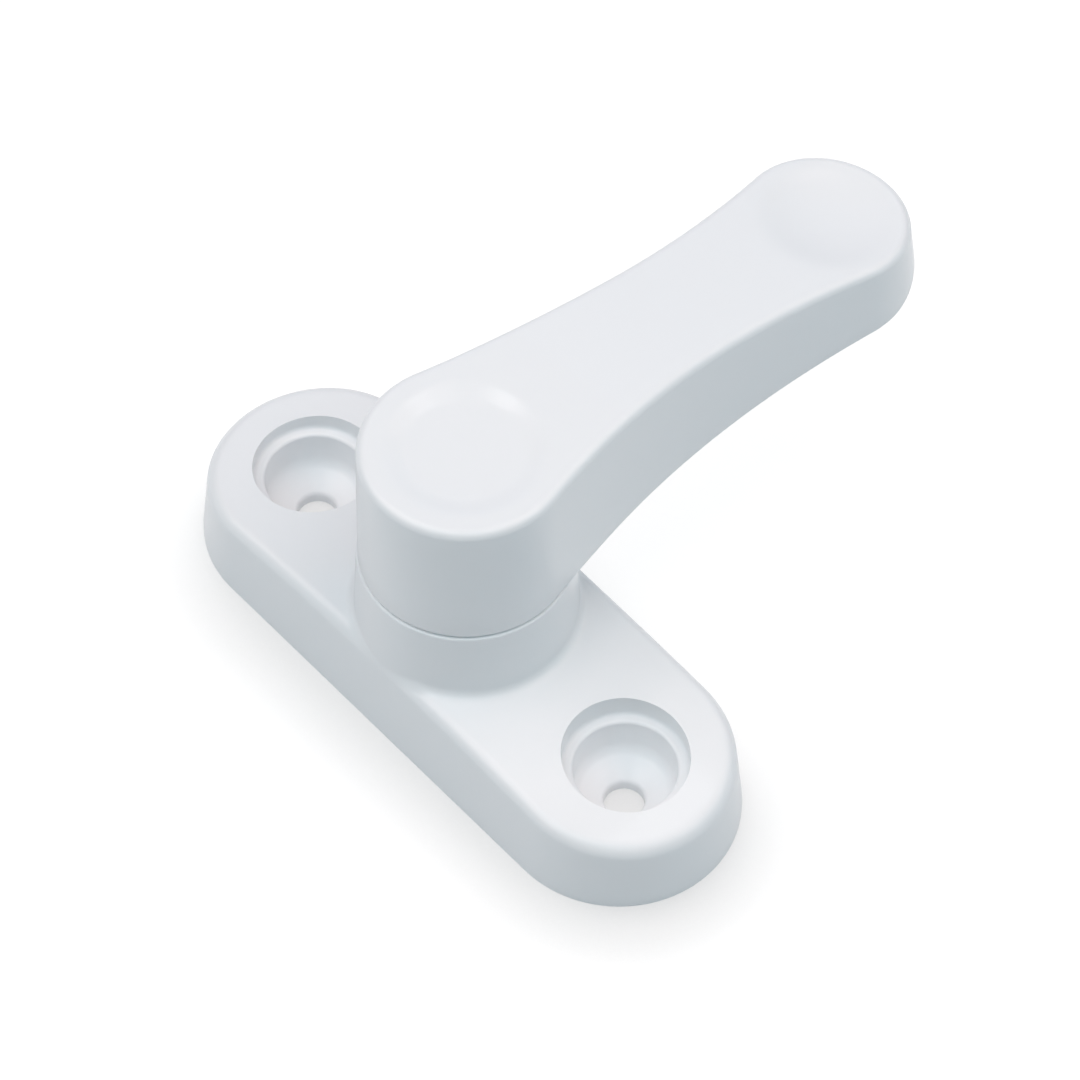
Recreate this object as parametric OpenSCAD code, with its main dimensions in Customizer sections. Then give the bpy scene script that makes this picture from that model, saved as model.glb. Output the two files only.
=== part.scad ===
// Window safety lock: a swivelling lever on a screwed-down base plate.
// Z points away from the mounting face, X runs along the base plate and the lever lies along Y at rest.
// The origin is in the mounting face, on the pivot's axis.

/* [Base plate] */
// Length of the base plate at its mounting face
base_len = 60; // [56:1:70]
// Width of the base plate at its mounting face
base_w = 21.2; // [21:0.2:24]
// Height of the base plate's crowned top at the middle
base_h = 8.9; // [8.2:0.1:10]
// How far the crowned top falls from the middle to the ends
crown_drop = 1.9; // [1.5:0.1:3.4]
// Draft of the side wall in degrees
side_draft = 6; // [3:0.5:7]
// Radius of the rounded top edge
base_edge_r = 1.1; // [0.6:0.1:1.4]
// Wall thickness of the casting round the hollow underside
base_wall = 1.8; // [1.4:0.1:2.2]
// Thickness of the ribs in the hollow underside
base_rib_t = 1.5; // [1:0.1:2]

/* [Boss] */
// Diameter of the boss at its top
boss_d = 18.6; // [17.6:0.2:18.8]
// Height of the boss's top above the mounting face
boss_top = 16.5; // [14:0.1:18]
// Draft of the boss in degrees
boss_draft = 3; // [1:0.5:4]
// Radius of the fillet at the foot of the boss
boss_foot_r = 0.8; // [0.4:0.1:1.2]
// Rounding of the boss's top edge
boss_edge = 0.2; // [0.1:0.1:0.5]

/* [Screw recesses] */
// Distance between the two fixing screws
hole_spacing = 40.4; // [36:0.2:42]
// Diameter of each recess at its mouth
mouth_d = 10.9; // [9.6:0.1:11.4]
// Depth of the wide mouth below the top at the screw's axis
mouth_depth = 1.9; // [1.6:0.1:2.8]
// Diameter of the narrower bore that takes the screw head
head_bore_d = 8.9; // [7.6:0.1:9.2]
// Height of the countersunk floor's outer edge above the mounting face
floor_z = 2.5; // [1.6:0.1:3]
// Diameter of the hole for the fixing screw
screw_hole_d = 3.5; // [3:0.1:5]
// Length of that hole's straight part
screw_hole_len = 1.1; // [0.6:0.1:1.4]
// Wall of the tube round each recess
tube_wall = 1.5; // [1.2:0.1:1.8]

/* [Lever] */
// Diameter of the lever's hub just below its rounded top edge
hub_d = 18; // [17:0.2:18.2]
// Height of the hub's top above the mounting face
hub_top = 30.9; // [28:0.1:33]
// Distance from the pivot to the centre of the rounded tip
reach = 41; // [34:0.5:56]
// Diameter of the rounded tip
tip_d = 14.9; // [13:0.1:16.4]
// Width of the lever at its waist
waist_w = 12; // [10.6:0.2:12.8]
// How far the top falls from the hub to the tip
top_fall = 4.5; // [2:0.1:5]
// How far the underside rises from the hub to the tip
under_rise = 3.3; // [2:0.1:4.2]
// How far the underside turns up at the tip's end
tip_lift = 2; // [0.5:0.1:2.5]
// Draft of the lever's side in degrees
lever_draft = 0.8; // [0.4:0.2:2]
// How far the lower edge stands out further at the tip
tip_flare = 0.5; // [0:0.1:0.8]
// Radius of the rounded top edge
lever_edge_r = 0.8; // [0.5:0.1:1]
// Side wall thickness of the hollow arm
lever_wall = 1.8; // [1.4:0.1:2.2]
// Thickness of the hollow arm's top
lever_roof = 2.3; // [1.8:0.1:2.6]
// Thickness of the ribs inside the arm
lever_rib_t = 1.3; // [1:0.1:1.6]

/* [Dishes] */
// Diameter of the shallow dish in the hub's top
hub_dish_d = 13.6; // [11:0.2:14]
// Depth of that dish
hub_dish_depth = 0.55; // [0.3:0.05:0.8]
// Diameter of the thumb dish in the tip
thumb_dish_d = 12.2; // [10:0.2:12.6]
// Depth of the thumb dish
thumb_dish_depth = 0.8; // [0.4:0.1:1]
// How far the thumb dish lies beyond the tip's centre
thumb_shift = 0.5; // [0:0.1:0.8]

/* [Pivot] */
// Diameter of the spindle cast under the hub
spindle_d = 8; // [7:0.2:8.6]
// Radial clearance of the spindle in the base plate
spindle_clear = 0.06; // [0.04:0.01:0.08]
// Diameter of the tube that guides the spindle
guide_d = 11.8; // [11:0.2:12.4]
// Height of the guide tube's lower face above the mounting face
guide_foot = 5.8; // [5.4:0.1:7]
// Diameter of the retaining screw's thread
screw_d = 4; // [3:0.5:4.5]
// Diameter of the retaining screw's pan head
screw_head_d = 7.8; // [6.4:0.2:8.4]
// Height of the pan head
screw_head_h = 2.4; // [2:0.1:2.6]
// Width of the cross recess's arms
driver_w = 0.9; // [0.7:0.1:1.1]

/* [Washers] */
// Diameter of the slip washer between the lever and the boss
slip_d = 14.4; // [12.4:0.2:15]
// Thickness of the slip washer
slip_t = 0.9; // [0.6:0.1:1.2]
// Gap that the slip washer keeps between the hub and the boss
hub_gap = 0.2; // [0.1:0.05:0.4]
// Diameter of the retaining washer
washer_d = 12.6; // [11.4:0.2:13]
// Thickness of the retaining washer
washer_t = 0.9; // [0.8:0.1:1.1]
// Diameter of the wave washer
wave_d = 11.2; // [10.4:0.2:11.8]
// Thickness of the wave washer's strip
wave_t = 0.35; // [0.3:0.05:0.45]
// Height of the wave washer as fitted
wave_h = 1; // [0.8:0.1:1.2]

/* [Hidden] */
$fn = 72;
// One overrun serves every cut, and a small one joins two cuts
eps = 0.4;
touch = 0.01;
// Clearances: beside a washer in its seat, round a washer on the spindle or screw, and where the wave touches
seat_clear = 0.15;
ring_clear = 0.2;
wave_clear = 0.03;

// Counts of facets along the lofted skins
hub_steps = 15;
side_steps = 14;
tip_steps = 13;
end_steps = 14;
long_steps = 16;
edge_steps = 4;
dish_steps = 9;
wave_steps = 60;
waves = 3;

// Base plate: the crown is an arc, and the side wall leans in by its draft up to the rounded edge
crown_r = (pow(base_len / 2, 2) + pow(crown_drop, 2)) / (2 * crown_drop);
crown_mid = base_h - crown_r;
land_h = 0.5;
base_end_r = base_w / 2;
base_half = base_len / 2 - base_end_r;
tube_d = mouth_d + 2 * tube_wall;
boss_foot_z = crown(boss_d / 2);
boss_foot_d = boss_d + 2 * (boss_top - boss_foot_z) * tan(boss_draft);
slip_seat_z = boss_top + hub_gap - slip_t;
core_d = boss_d - 2 * base_wall;
core_top = boss_top - slip_t - base_wall;
base_lean = (base_h - base_edge_r - land_h) * tan(side_draft);
core_inset = base_wall + base_lean / 2;
rib_drop = 1.2;

// Lever: two circles joined by hollow arcs that touch both
hub_r = hub_d / 2;
tip_r = tip_d / 2;
arc_a = (reach * reach + hub_r * hub_r - tip_r * tip_r) / (2 * reach);
arc_b = (hub_r - tip_r) / reach;
quad_a = arc_b * arc_b;
quad_b = 2 * arc_a * arc_b - 2 * (hub_r - waist_w / 2);
quad_c = arc_a * arc_a - hub_r * hub_r + pow(waist_w / 2, 2);
side_r = 2 * quad_c / (sqrt(quad_b * quad_b - 4 * quad_a * quad_c) - quad_b);
side_x = side_r + waist_w / 2;
side_y = arc_a + arc_b * side_r;
hub_turn = atan2(side_y, side_x);
tip_turn = atan2(reach - side_y, side_x);
tip_y = reach + tip_r;
hub_foot = boss_top + hub_gap;
pad_drop = 0.05;
rise_start = hub_r * sin(hub_turn);
fall_start = 3 / 4 * hub_r;
flare_start = hub_r + lever_wall;
fall_share = 0.34;
rise_share = 0.2;
core_start = hub_r + lever_wall;
root_wall = 1.5;
hub_core_in = spindle_d / 2 + root_wall;
hub_core_out = hub_r - lever_wall;
hub_core_top = hub_top - hub_dish_depth - lever_roof;
hub_core_ribs = 6;
rib_lift = 1;
thumb_r = (pow(thumb_dish_d / 2, 2) + pow(thumb_dish_depth, 2)) / (2 * thumb_dish_depth);
thumb_tilt = atan(top_fall / (tip_y - fall_start) / (1 - fall_share / 2));

// Pivot stack, from the guide tube's lower face downwards
washer_top = guide_foot - wave_h;
spindle_foot = washer_top;
head_top = washer_top - washer_t;
thread_depth = 0.2;
screw_bore_d = screw_d - 2 * thread_depth;
screw_reach = 7;
bore_extra = 1.5;

// Height of the base plate's crowned top at a distance along it
function crown(x) = crown_mid + sqrt(crown_r * crown_r - x * x);

// Smooth step from 0 to 1
function ease(t) = let (c = min(1, max(0, t))) c * c * (3 - 2 * c);
// A straight ramp from 0 to 1 that starts softly over a share of its length
function ramp(t, soft) = let (c = min(1, max(0, t))) (c < soft ? c * c / (2 * soft) : c - soft / 2) / (1 - soft / 2);
// Height of the lever's top and underside along its length
function top_z(y) = hub_top - top_fall * ramp((y - fall_start) / (tip_y - fall_start), fall_share);
function under_z(y) = hub_foot + pad_drop
    + under_rise * ramp((y - rise_start) / (reach - rise_start), rise_share)
    + tip_lift * pow(max(0, y - reach) / tip_r, 2);
// How far the lower edge stands out beyond the top's outline, where the side is h high
function flare(y, h) = h * tan(lever_draft) + tip_flare * ease((y - flare_start) / (reach - flare_start));

// Outlines are lists of [point, outward direction], from one end of the long axis round to the other end
function arc_points(c, r, a0, a1, n, side = 1) =
    [for (i = [0:n]) let (a = a0 + (a1 - a0) * i / n, u = [cos(a), sin(a)]) [c + r * u, side * u]];
function lever_half() = concat(
    arc_points([0, 0], hub_r, -90, hub_turn, hub_steps),
    [for (i = [1:side_steps - 1]) arc_points([side_x, side_y], side_r,
        180 + hub_turn, 180 - tip_turn, side_steps, -1)[i]],
    arc_points([0, reach], tip_r, -tip_turn, 90, tip_steps));
function base_half_outline() = concat(
    arc_points([-base_half, 0], base_end_r, 180, 270, end_steps),
    [for (i = [1:long_steps - 1]) [[-base_half + 2 * base_half * i / long_steps, -base_end_r], [0, -1]]],
    arc_points([base_half, 0], base_end_r, -90, 0, end_steps));

// Whole outline: the half and its mirror image, across X for the lever and across Y for the base plate
function whole(half, flip) = let (n = len(half)) concat(half,
    [for (i = [n - 2:-1:1]) [[for (k = [0:1]) half[i][0][k] * flip[k]], [for (k = [0:1]) half[i][1][k] * flip[k]]]]);

// A skin through rings of equal length; its ends are closed by strips from side to side
module skin(rings) {
    n = len(rings[0]);
    m = len(rings);
    points = [for (ring = rings) each ring];
    sides = [for (k = [0:m - 2]) for (i = [0:n - 1]) let (a = k * n, b = a + n, j = (i + 1) % n)
        each [[a + i, b + i, b + j], [a + i, b + j, a + j]]];
    strips = [for (i = [0:n / 2 - 1]) let (p = n - i - 1, q = (n - i) % n)
        i == 0 ? [0, 1, p] : i == n / 2 - 1 ? [i, i + 1, q] : [i, i + 1, p, q]];
    top = (m - 1) * n;
    lid = [for (s = strips) [for (k = [len(s) - 1:-1:0]) s[k] + top]];
    polyhedron(points, concat(sides, strips, lid), convexity = 6);
}

// Rings of the lever's skin: the underside's edge, the drafted wall and the rounded top edge
function lever_rings(inset, roof, edge, drop) = let (o = whole(lever_half(), [-1, 1])) concat(
    [[for (p = o) let (y = p[0][1], h = top_z(y) - under_z(y), q = p[0] + p[1] * (flare(y, h) - inset))
        [q[0], q[1], under_z(y) - drop]]],
    [for (k = [0:edge_steps]) let (a = 90 * k / edge_steps)
        [for (p = o) let (q = p[0] - p[1] * (inset + edge * (1 - cos(a))))
            [q[0], q[1], top_z(q[1]) - roof - edge * (1 - sin(a))]]]);

// Rings of the base plate's skin: an upright land, the drafted wall and the rounded top edge
function base_rings() = let (o = whole(base_half_outline(), [1, -1]),
    lean = function(x) (crown(x) - base_edge_r - land_h) * tan(side_draft)) concat(
    [for (z = [0, land_h]) [for (p = o) [p[0][0], p[0][1], z]]],
    [for (k = [0:edge_steps]) let (a = 90 * k / edge_steps)
        [for (p = o) let (q = p[0] - p[1] * (lean(p[0][0]) + base_edge_r * (1 - cos(a))))
            [q[0], q[1], crown(q[0]) - base_edge_r * (1 - sin(a))]]]);

// An upright solid with straight sides and round ends, along X
module obround(length, width, height) {
    translate([-(length - width) / 2, -width / 2, 0]) cube([length - width, width, height]);
    for (s = [-1, 1]) translate([s * (length - width) / 2, 0, 0]) cylinder(d = width, h = height);
}

// A slab under the crown, lowered by the wall, that closes the hollow underside
module under_crown(lowered) {
    translate([0, base_w, crown_mid]) rotate([90, 0, 0])
        cylinder(r = crown_r - lowered, h = 2 * base_w, $fn = 360);
}

// A fillet round the boss's foot, kept within the base plate's top
module boss_fillet() {
    foot_r = boss_foot_d / 2;
    intersection() {
        rotate_extrude() difference() {
            translate([foot_r - eps, boss_foot_z - boss_foot_r]) square([boss_foot_r + eps, 2 * boss_foot_r]);
            translate([foot_r + boss_foot_r, boss_foot_z + boss_foot_r]) circle(r = boss_foot_r);
        }
        obround(base_len, base_w - 2 * base_edge_r - 2 * base_lean, boss_top);
    }
}

// The boss with its draft and its broken top edge
module boss() {
    cylinder(d = boss_foot_d, h = boss_foot_z);
    translate([0, 0, boss_foot_z]) cylinder(d1 = boss_foot_d, d2 = boss_d, h = boss_top - boss_foot_z - boss_edge);
    translate([0, 0, boss_top - boss_edge]) cylinder(d1 = boss_d, d2 = boss_d - 2 * boss_edge, h = boss_edge);
}

// What stays standing in the hollow underside: screw tubes, the pivot's wall and the ribs
module base_inside() {
    for (s = [-1, 1]) translate([s * hole_spacing / 2, 0, 0]) cylinder(d = tube_d, h = base_h);
    cylinder(d = boss_d, h = boss_top);
    translate([-hole_spacing / 2, -base_rib_t / 2, rib_drop]) cube([hole_spacing, base_rib_t, base_h]);
    for (s = [-1, 1], t = [-1, 1]) translate([s * hole_spacing / 2 - base_rib_t / 2, 0, rib_drop])
        scale([1, t, 1]) cube([base_rib_t, base_w / 2, base_h]);
}

// One recess: the wide mouth, the narrower bore, the countersunk floor and the screw's hole
module screw_recess() {
    ledge_z = crown(hole_spacing / 2) - mouth_depth;
    soft = (mouth_d - head_bore_d) / 4;
    translate([0, 0, ledge_z]) cylinder(d = mouth_d, h = base_h);
    translate([0, 0, ledge_z - soft]) cylinder(d1 = head_bore_d, d2 = head_bore_d + 2 * soft, h = soft + touch);
    translate([0, 0, floor_z]) cylinder(d = head_bore_d, h = base_h);
    translate([0, 0, screw_hole_len]) cylinder(d1 = screw_hole_d, d2 = head_bore_d, h = floor_z - screw_hole_len);
    translate([0, 0, -eps]) cylinder(d = screw_hole_d, h = screw_hole_len + 2 * eps);
}

module base_plate() color("white") {
    difference() {
        union() {
            skin(base_rings());
            boss();
            boss_fillet();
        }
        difference() {
            translate([0, 0, -eps]) intersection() {
                obround(base_len - 2 * core_inset, base_w - 2 * core_inset, base_h);
                under_crown(base_wall);
            }
            base_inside();
        }
        for (s = [-1, 1]) translate([s * hole_spacing / 2, 0, 0]) screw_recess();
        translate([0, 0, slip_seat_z]) cylinder(d = slip_d + 2 * seat_clear, h = boss_top);
        cylinder(d = spindle_d + 2 * spindle_clear, h = boss_top);
        difference() {
            translate([0, 0, -eps]) cylinder(d = core_d, h = core_top + eps);
            translate([0, 0, guide_foot]) cylinder(d = guide_d, h = boss_top);
        }
    }
}

// The hollow of the arm, with its ribs left standing
module arm_core() {
    difference() {
        intersection() {
            skin(lever_rings(lever_wall, lever_roof, lever_edge_r, under_rise));
            translate([-hub_r, core_start, 0]) cube([hub_d, tip_y, hub_top]);
        }
        arm_rib();
        for (i = [1:3]) translate([-hub_r, core_start + (tip_y - core_start) * i / 4 - lever_rib_t / 2,
            under_z(core_start + (tip_y - core_start) * i / 4) + rib_lift]) cube([hub_d, lever_rib_t, hub_top]);
    }
}

// The long rib down the middle of the arm, its lower edge following the underside
module arm_rib() {
    steps = 10;
    translate([-lever_rib_t / 2, 0, 0]) rotate([90, 0, 90]) linear_extrude(lever_rib_t)
        polygon(concat(
            [for (i = [0:steps]) let (y = core_start - eps + (tip_y - core_start) * i / steps)
                [y, under_z(y) + rib_lift]],
            [[tip_y, hub_top], [core_start - eps, hub_top]]));
}

// Six hollows round the spindle's root, open to below
module hub_cores() {
    turn = 360 / hub_core_ribs;
    gap = lever_rib_t / hub_core_in * 180 / PI;
    for (i = [0:hub_core_ribs - 1]) rotate([0, 0, i * turn + gap / 2])
        translate([0, 0, hub_foot - eps]) rotate_extrude(angle = turn - gap)
            translate([hub_core_in, 0]) square([hub_core_out - hub_core_in, hub_core_top - hub_foot + eps]);
}

// A dish with a nearly flat floor and a soft wall, as a revolved profile
module hub_dish() {
    r = hub_dish_d / 2;
    translate([0, 0, hub_top]) rotate_extrude()
        polygon(concat(
            [for (i = [0:dish_steps]) let (s = i / dish_steps) [r * s, -hub_dish_depth * (1 - pow(s, 5))]],
            [[r, hub_dish_depth], [0, hub_dish_depth]]));
}

module lever() color("white") {
    difference() {
        union() {
            difference() {
                skin(lever_rings(0, 0, lever_edge_r, 0));
                arm_core();
            }
            translate([0, 0, hub_foot]) cylinder(r = hub_r - lever_edge_r, h = hub_core_top - hub_foot);
            translate([0, 0, spindle_foot]) cylinder(d = spindle_d, h = hub_top / 2);
        }
        hub_cores();
        hub_dish();
        translate([0, reach + thumb_shift, top_z(reach + thumb_shift)]) rotate([-thumb_tilt, 0, 0])
            translate([0, 0, thumb_r - thumb_dish_depth]) sphere(r = thumb_r, $fn = 200);
        translate([0, 0, spindle_foot - eps]) cylinder(d = screw_bore_d, h = screw_reach + bore_extra + eps);
    }
}

module slip_washer() color("gainsboro") {
    translate([0, 0, slip_seat_z]) difference() {
        cylinder(d = slip_d, h = slip_t);
        translate([0, 0, -eps]) cylinder(d = spindle_d + 2 * ring_clear, h = slip_t + 2 * eps);
    }
}

// A ring of strip whose height waves round the axis
module wave_washer() color("silver") {
    r_in = spindle_d / 2 + ring_clear;
    r_out = wave_d / 2;
    rise = (wave_h - wave_t - 2 * wave_clear) / 2;
    mid = (guide_foot + washer_top) / 2;
    points = [for (i = [0:wave_steps - 1]) let (a = 360 * i / wave_steps, z = mid + rise * cos(waves * a))
        for (c = [[r_in, -1], [r_out, -1], [r_out, 1], [r_in, 1]])
            [c[0] * cos(a), c[0] * sin(a), z + c[1] * wave_t / 2]];
    faces = [for (i = [0:wave_steps - 1]) for (k = [0:3])
        let (a = 4 * i, b = 4 * ((i + 1) % wave_steps), j = (k + 1) % 4)
        each [[a + k, b + k, b + j], [a + k, b + j, a + j]]];
    polyhedron(points, faces, convexity = 4);
}

module retaining_washer() color("silver") {
    translate([0, 0, head_top]) difference() {
        cylinder(d = washer_d, h = washer_t);
        translate([0, 0, -eps]) cylinder(d = screw_d + 2 * ring_clear, h = washer_t + 2 * eps);
    }
}

// A pan-head screw, head down, with a tapered cross recess
module retaining_screw() color("silver") {
    cheek = screw_head_h / 3;
    foot = head_top - screw_head_h;
    deep = 0.6 * screw_head_h;
    long = 0.55 * screw_head_d;
    difference() {
        union() {
            translate([0, 0, foot + cheek]) cylinder(d = screw_head_d, h = screw_head_h - cheek);
            translate([0, 0, foot]) cylinder(d1 = screw_head_d - 2 * cheek, d2 = screw_head_d, h = cheek);
            translate([0, 0, head_top - eps]) cylinder(d = screw_bore_d - wave_clear, h = screw_reach + eps);
        }
        for (a = [0, 90]) rotate([0, 0, a]) translate([-long / 2, -driver_w / 2, foot - eps])
            cube([long, driver_w, deep + eps]);
    }
}

base_plate();
lever();
slip_washer();
wave_washer();
retaining_washer();
retaining_screw();
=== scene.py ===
"""Window safety lock: fine castings, finishes, floor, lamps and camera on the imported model.

Sizes of the pieces are in millimetres, and every finished mesh is scaled to the frame's metres.
Z points away from the mounting face, X runs along the base plate and the lever lies along Y.
"""
import logging
import math
from dataclasses import dataclass, field
from enum import Enum
from typing import Callable, Iterable

import bmesh
import bpy
from mathutils import Matrix, Vector


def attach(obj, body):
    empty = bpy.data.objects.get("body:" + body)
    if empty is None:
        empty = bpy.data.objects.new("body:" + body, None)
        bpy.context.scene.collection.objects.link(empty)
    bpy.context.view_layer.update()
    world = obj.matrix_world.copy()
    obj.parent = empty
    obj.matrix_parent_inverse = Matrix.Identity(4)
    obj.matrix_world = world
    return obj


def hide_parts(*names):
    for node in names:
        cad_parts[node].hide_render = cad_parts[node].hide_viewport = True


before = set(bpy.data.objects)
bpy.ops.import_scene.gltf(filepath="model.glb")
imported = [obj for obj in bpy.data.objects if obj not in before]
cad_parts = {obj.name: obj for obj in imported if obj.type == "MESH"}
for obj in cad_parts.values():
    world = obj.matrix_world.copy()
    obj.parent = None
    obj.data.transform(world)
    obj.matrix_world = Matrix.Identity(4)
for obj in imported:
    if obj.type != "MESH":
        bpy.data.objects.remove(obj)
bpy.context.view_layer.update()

LOG = logging.getLogger("window_lock")
MM = 0.001
Ring = list[Vector]
Profile = list[tuple[float, float]]
Height = Callable[[float, float], float]
NEAR = 1e-5
NOISE_MEAN = 0.5
WAVE_PHASE = 20


class Cut(Enum):
    """What a helper solid does to the piece it meets."""

    TAKE = "DIFFERENCE"
    ADD = "UNION"


class End(Enum):
    """How the first or last ring of a lofted skin is closed."""

    OPEN = "open"
    FLAT = "flat"
    MERGED = "merged"


def ease(share: float) -> float:
    """Returns a smooth step from 0 to 1 over a share that may lie outside them."""
    held = min(1.0, max(0.0, share))
    return held * held * (3 - 2 * held)


def ramp(share: float, soft: float) -> float:
    """Returns a straight ramp from 0 to 1 that starts softly over a share of its length."""
    held = min(1.0, max(0.0, share))
    return (held * held / (2 * soft) if held < soft else held - soft / 2) / (1 - soft / 2)


def loft(rings: list[Ring], start: End = End.FLAT, stop: End = End.FLAT) -> bmesh.types.BMesh:
    """Draws a skin by extruding a loop of edges from ring to ring.

    Args:
        rings: Loops of equally many points, in order along the skin.
        start: How the first ring is closed.
        stop: How the last ring is closed.

    Returns:
        The skin as a new mesh in millimetres.
    """
    bm = bmesh.new()
    made = bmesh.ops.create_circle(bm, segments=len(rings[0]), radius=1.0)
    loop = list(made["verts"])
    for vert, place in zip(loop, rings[0]):
        vert.co = place
    edges = list(bm.edges)
    if start is End.FLAT:
        bmesh.ops.edgeloop_fill(bm, edges=edges)
    for ring in rings[1:]:
        grown = bmesh.ops.extrude_edge_only(bm, edges=edges)["geom"]
        fresh = {item for item in grown if isinstance(item, bmesh.types.BMVert)}
        loop = [next(e.other_vert(v) for e in v.link_edges if e.other_vert(v) in fresh) for v in loop]
        edges = [item for item in grown if isinstance(item, bmesh.types.BMEdge)]
        edges = [e for e in edges if e.verts[0] in fresh and e.verts[1] in fresh]
        for vert, place in zip(loop, ring):
            vert.co = place
    if stop is End.FLAT:
        bmesh.ops.edgeloop_fill(bm, edges=edges)
    bmesh.ops.remove_doubles(bm, verts=bm.verts, dist=NEAR)
    bmesh.ops.recalc_face_normals(bm, faces=bm.faces)
    return bm


def turned(profile: Profile, segments: int, centre: tuple[float, float] = (0.0, 0.0)) -> list[Ring]:
    """Returns the rings of a turned solid.

    Args:
        profile: Radius and height of each ring.
        segments: Points on a ring.
        centre: X and Y of the axis.

    Returns:
        One loop of points for each point of the profile.
    """
    turns = [2 * math.pi * k / segments for k in range(segments)]
    return [[Vector((centre[0] + r * math.cos(t), centre[1] + r * math.sin(t), z)) for t in turns]
            for r, z in profile]


def arc(centre: tuple[float, float], radius: float, start: float, stop: float, steps: int) -> Profile:
    """Returns points of an arc in a profile, with its angles in degrees."""
    angles = [math.radians(start + (stop - start) * k / steps) for k in range(steps + 1)]
    return [(centre[0] + radius * math.cos(a), centre[1] + radius * math.sin(a)) for a in angles]


def block(low: tuple[float, float, float], high: tuple[float, float, float]) -> bmesh.types.BMesh:
    """Makes a box between two corners.

    Args:
        low: The corner with the least coordinates.
        high: The corner with the greatest coordinates.

    Returns:
        The box as a new mesh.
    """
    bm = bmesh.new()
    bmesh.ops.create_cube(bm, size=1.0)
    size = [b - a for a, b in zip(low, high)]
    middle = [(a + b) / 2 for a, b in zip(low, high)]
    bmesh.ops.scale(bm, vec=size, verts=bm.verts)
    bmesh.ops.translate(bm, vec=middle, verts=bm.verts)
    return bm


def soften(bm: bmesh.types.BMesh, radius: float, segments: int, sharp: float,
           chosen: Callable[[bmesh.types.BMEdge], bool]) -> None:
    """Rounds the sharp edges of a simple solid.

    Args:
        bm: The solid.
        radius: Width of the rounding.
        segments: Facets of the rounding.
        sharp: Least angle in degrees between the faces of an edge that is rounded.
        chosen: Tells whether an edge may be rounded.
    """
    bm.normal_update()
    edges = [e for e in bm.edges
             if e.is_manifold and e.calc_face_angle() > math.radians(sharp) and chosen(e)]
    bmesh.ops.bevel(bm, geom=edges, offset=radius, offset_type="OFFSET", segments=segments, profile=0.5,
                    affect="EDGES", material=-1, clamp_overlap=True)


def to_object(bm: bmesh.types.BMesh, name: str) -> bpy.types.Object:
    """Writes a mesh in millimetres into a new object, and frees it.

    Args:
        bm: The mesh.
        name: The object's name.

    Returns:
        The object.
    """
    mesh = bpy.data.meshes.new(name)
    bm.to_mesh(mesh)
    bm.free()
    piece = bpy.data.objects.new(name, mesh)
    bpy.context.scene.collection.objects.link(piece)
    return piece


def from_object(piece: bpy.types.Object) -> bmesh.types.BMesh:
    """Takes the mesh out of a helper object, and deletes the object.

    Args:
        piece: The helper object.

    Returns:
        Its mesh in millimetres.
    """
    bm = bmesh.new()
    spent = piece.data
    bm.from_mesh(spent)
    bpy.data.objects.remove(piece)
    bpy.data.meshes.remove(spent)
    return bm


def carve(piece: bpy.types.Object, tool: bmesh.types.BMesh, cut: Cut = Cut.TAKE) -> None:
    """Cuts a helper solid from a piece, or joins it to the piece.

    Args:
        piece: The piece, which keeps the result.
        tool: The helper solid, which is used up.
        cut: What the helper does.
    """
    helper = to_object(tool, "helper")
    step = piece.modifiers.new("carve", "BOOLEAN")
    step.object = helper
    step.operation = cut.value
    step.solver = "EXACT"
    bpy.context.view_layer.update()
    carved = bpy.data.meshes.new_from_object(piece.evaluated_get(bpy.context.evaluated_depsgraph_get()))
    piece.modifiers.clear()
    spent = piece.data
    piece.data = carved
    bpy.data.meshes.remove(spent)
    spent = helper.data
    bpy.data.objects.remove(helper)
    bpy.data.meshes.remove(spent)


def to_metres(piece: bpy.types.Object, crease: float = 32.0) -> None:
    """Scales a finished mesh to metres and shades it smooth up to an angle.

    Args:
        piece: The finished piece.
        crease: Angle in degrees past which an edge stays sharp.
    """
    bm = bmesh.new()
    bm.from_mesh(piece.data)
    bmesh.ops.remove_doubles(bm, verts=bm.verts, dist=NEAR)
    bmesh.ops.dissolve_degenerate(bm, dist=NEAR, edges=bm.edges)
    bmesh.ops.triangulate(bm, faces=[f for f in bm.faces if len(f.verts) > 4])
    bmesh.ops.recalc_face_normals(bm, faces=bm.faces)
    bmesh.ops.scale(bm, vec=(MM, MM, MM), verts=bm.verts)
    bm.to_mesh(piece.data)
    bm.free()
    piece.data.polygons.foreach_set("use_smooth", [True] * len(piece.data.polygons))
    piece.data.set_sharp_from_angle(angle=math.radians(crease))
    piece.data.update()


class Socket:
    """A value in a shader, with Python's operators as its maths."""

    def __init__(self, tree: bpy.types.NodeTree, link: bpy.types.NodeSocket) -> None:
        """Keeps the tree and the output that holds the value."""
        self.tree = tree
        self.link = link

    def _math(self, operation: str, first: "Socket | float", second: "Socket | float") -> "Socket":
        """Adds a Math node.

        Args:
            operation: What the node works out.
            first: Its first value.
            second: Its second value.

        Returns:
            The node's result.
        """
        node = self.tree.nodes.new("ShaderNodeMath")
        node.operation = operation
        for place, value in zip(node.inputs, (first, second)):
            if isinstance(value, Socket):
                self.tree.links.new(value.link, place)
            else:
                place.default_value = value
        return Socket(self.tree, node.outputs[0])

    def __add__(self, other: "Socket | float") -> "Socket":
        """Returns the sum."""
        return self._math("ADD", self, other)

    def __mul__(self, other: "Socket | float") -> "Socket":
        """Returns the product."""
        return self._math("MULTIPLY", self, other)

    def __sub__(self, other: "Socket | float") -> "Socket":
        """Returns the difference."""
        return self._math("SUBTRACT", self, other)

    def __rsub__(self, other: float) -> "Socket":
        """Returns a number less this value."""
        return self._math("SUBTRACT", other, self)

    __radd__ = __add__
    __rmul__ = __mul__


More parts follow.
